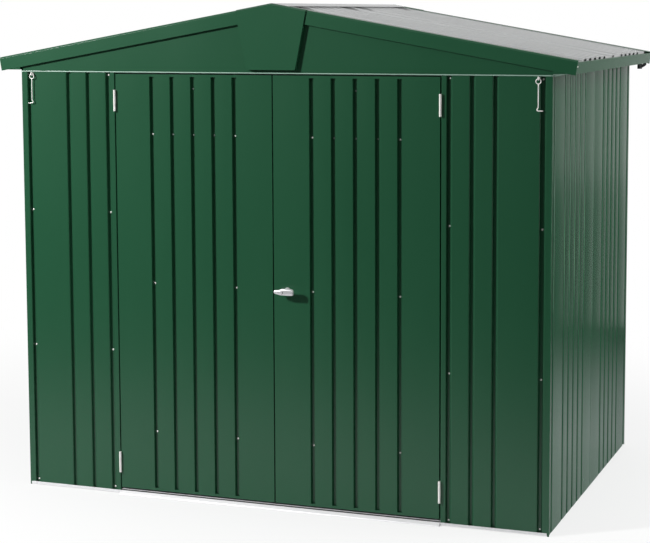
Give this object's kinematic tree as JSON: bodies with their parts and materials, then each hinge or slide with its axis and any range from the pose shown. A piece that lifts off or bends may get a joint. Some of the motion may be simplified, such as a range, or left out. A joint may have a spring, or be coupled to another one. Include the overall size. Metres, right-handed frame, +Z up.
{
  "type": "metal storage shed with gable roof and double doors",
  "caption": "Folded sheet-steel storage shed with ribbed walls, shallow gable roof with eave gutters, and outward-opening double doors with a turn handle.",
  "frame": {"origin": "on the ground, under the centre of the overall box", "axes": "+Z up, -Y out of the doors, +X to the right of someone facing the doors"},
  "size_m": [2.4542, 1.597, 2.0384],
  "materials": {
    "green_sheet": "satin stoved paint on galvanised sheet, dark green",
    "green_trim": "satin stoved paint on folded trim, dark green",
    "roof_sheet": "galvanised ribbed roof sheet, pale grey",
    "zinc_sill": "mill-finish extrusion",
    "bright_steel": "bright zinc plate",
    "chrome_handle": "satin chrome plate",
    "black_plastic": "moulded black plastic"
  },
  "bodies": {
    "shell": {"front_base_rails": "zinc_sill", "back_base_rail": "zinc_sill", "side_base_rails": "green_sheet", "door_sill": "zinc_sill", "front_left_corner_post": "green_sheet", "front_right_corner_post": "green_sheet", "back_left_corner_post": "green_sheet", "back_right_corner_post": "green_sheet", "front_left_panel": "green_sheet", "front_right_panel": "green_sheet", "door_jambs": "green_sheet", "left_wall_front_sheet": "green_sheet", "left_wall_back_sheet": "green_sheet", "right_wall_front_sheet": "green_sheet", "right_wall_back_sheet": "green_sheet", "back_wall_left_sheet": "green_sheet", "back_wall_middle_sheet": "green_sheet", "back_wall_right_sheet": "green_sheet", "front_top_rail": "green_sheet", "back_top_rail": "green_sheet", "left_top_rail": "green_sheet", "right_top_rail": "green_sheet", "front_gable": "green_sheet", "back_gable": "green_sheet", "front_barge_boards": "green_trim", "back_barge_boards": "green_trim", "front_gable_cap": "green_trim", "back_gable_cap": "green_trim", "left_gutter": "green_trim", "right_gutter": "green_trim", "gutter_spouts": "black_plastic", "left_roof_front_sheet": "roof_sheet", "left_roof_back_sheet": "roof_sheet", "right_roof_front_sheet": "roof_sheet", "right_roof_back_sheet": "roof_sheet", "ridge_beam": "zinc_sill", "ridge_cap": "roof_sheet", "fixed_hinge_leaves": "bright_steel", "hook_eyes": "bright_steel"},
    "left_door": {"left_door": "green_sheet", "left_door_hinges": "bright_steel"},
    "right_door": {"right_door": "green_sheet", "right_door_hinges": "bright_steel", "handle_rose": "chrome_handle"},
    "turn_handle": {"turn_handle": "chrome_handle"},
    "left_hook": {"left_hook": "bright_steel"},
    "right_hook": {"right_hook": "bright_steel"}
  },
  "joints": [
    {"name": "left_door_swing", "type": "hinge", "parent": "shell", "child": "left_door", "pos_m": [-0.6945, -0.757, 0.891], "axis": [0, 0, -1], "range_deg": [0, 155]},
    {"name": "right_door_swing", "type": "hinge", "parent": "shell", "child": "right_door", "pos_m": [0.6945, -0.757, 0.891], "axis": [0, 0, 1], "range_deg": [0, 155]},
    {"name": "handle_turn", "type": "hinge", "parent": "right_door", "child": "turn_handle", "pos_m": [0.061, -0.7505, 0.897], "axis": [0, 1, 0], "range_deg": [0, 90]},
    {"name": "left_hook_swing", "type": "hinge", "parent": "shell", "child": "left_hook", "pos_m": [-1.0765, -0.7595, 1.753], "axis": [-1, 0, 0], "range_deg": [0, 90]},
    {"name": "right_hook_swing", "type": "hinge", "parent": "shell", "child": "right_hook", "pos_m": [1.0765, -0.7595, 1.753], "axis": [-1, 0, 0], "range_deg": [0, 90]}
  ]
}
